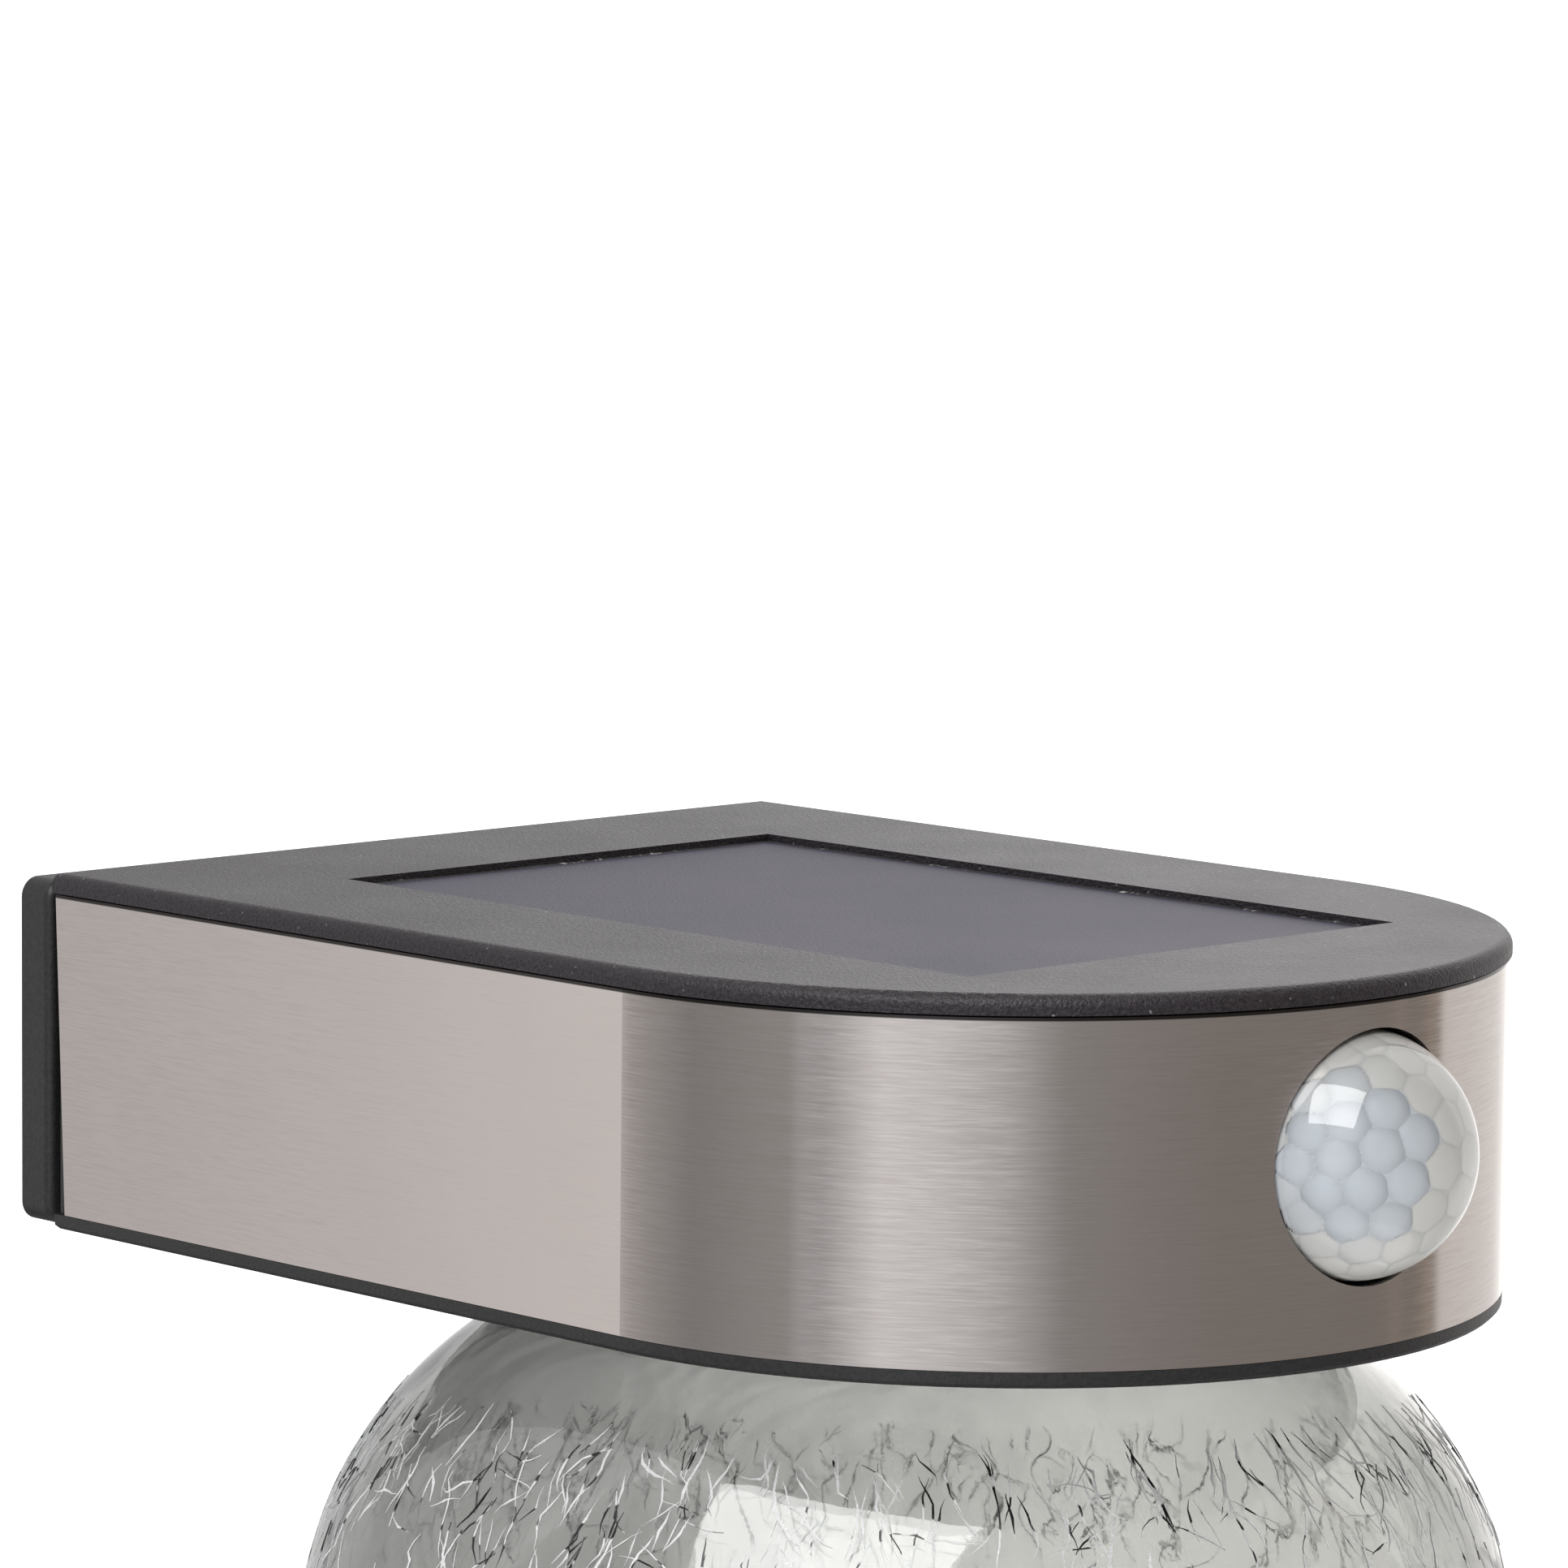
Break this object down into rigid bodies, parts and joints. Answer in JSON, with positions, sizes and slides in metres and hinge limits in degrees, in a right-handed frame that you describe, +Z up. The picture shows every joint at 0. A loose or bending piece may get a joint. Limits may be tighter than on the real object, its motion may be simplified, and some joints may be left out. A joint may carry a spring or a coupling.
{
  "type": "solar wall light",
  "caption": "Solar wall light with a motion sensor: a D-shaped brushed steel head on a hook-on bracket carries a twist-lock crackle glass globe.",
  "frame": {"origin": "centre of the wall bracket's flat back face, on the wall", "axes": "+Y into the wall, -Y out into the room along the head, +X to the right as seen from the room, +Z up"},
  "size_m": [0.1204, 0.1483, 0.135],
  "materials": {
    "bracket_plastic": "satin matt black moulding",
    "housing_plastic": "fine textured black moulding",
    "cover_plastic": "fine textured black moulding",
    "gasket_rubber": "matt",
    "brushed_band": "horizontal brushing",
    "panel_glass": "satin clear sheet",
    "cell_silicon": "dark blue black",
    "board_green": "printed circuit board",
    "seal_adhesive": "matt",
    "lens_white": "milky, glossy",
    "inner_plastic": "matt",
    "sensor_can": "bright metal can",
    "component_black": "moulded components",
    "screw_steel": "zinc plated",
    "stainless_screw": "stainless",
    "battery_sleeve": "shrink sleeve",
    "contact_metal": "nickel plated spring metal",
    "switch_plastic": "matt",
    "knob_plastic": "matt",
    "carrier_white": "white moulding",
    "board_white": "white solder mask",
    "led_yellow": "phosphor",
    "diffuser_frost": "frosted diffuser",
    "crackle_glass": "clear crackle glass",
    "collar_plastic": "satin black moulding",
    "glue_clear": "cured silicone",
    "wire_insulation": "flexible insulation"
  },
  "bodies": {
    "bracket": {"wall_bracket": "bracket_plastic"},
    "head": {"lower_housing": "housing_plastic", "top_cover": "cover_plastic", "cover_gasket": "gasket_rubber", "steel_band": "brushed_band", "solar_glass": "panel_glass", "solar_cells": "cell_silicon", "solar_backing": "board_green", "panel_seal": "seal_adhesive", "pir_lens": "lens_white", "lens_seal": "gasket_rubber", "lens_retainer": "inner_plastic", "pir_sensor": "sensor_can", "pir_board": "board_green", "control_board": "board_green", "control_parts": "component_black", "board_screws": "screw_steel", "housing_screws": "stainless_screw", "battery_cell": "battery_sleeve", "battery_cradle": "inner_plastic", "battery_contacts": "contact_metal", "switch_body": "switch_plastic", "led_carrier": "carrier_white", "led_board": "board_white", "led_chips": "led_yellow", "led_lens": "diffuser_frost", "carrier_screws": "screw_steel", "socket_gasket": "gasket_rubber", "solar_leads": "wire_insulation", "battery_leads": "wire_insulation", "led_leads": "wire_insulation", "pir_leads": "wire_insulation", "switch_leads": "wire_insulation"},
    "globe": {"glass_globe": "crackle_glass", "globe_collar": "collar_plastic", "collar_adhesive": "glue_clear"},
    "switch_knob": {"switch_knob": "knob_plastic"}
  },
  "joints": [
    {"name": "head_lift", "type": "slide", "parent": "bracket", "child": "head", "axis": [0, 0, 1], "range_m": [0, 0.0075]},
    {"name": "globe_twist", "type": "hinge", "parent": "head", "child": "globe", "pos_m": [0, -0.079, 0], "axis": [0, 0, -1], "range_deg": [0, 40]},
    {"name": "switch_slide", "type": "slide", "parent": "head", "child": "switch_knob", "axis": [1, 0, 0], "range_m": [0, 0.004]}
  ]
}
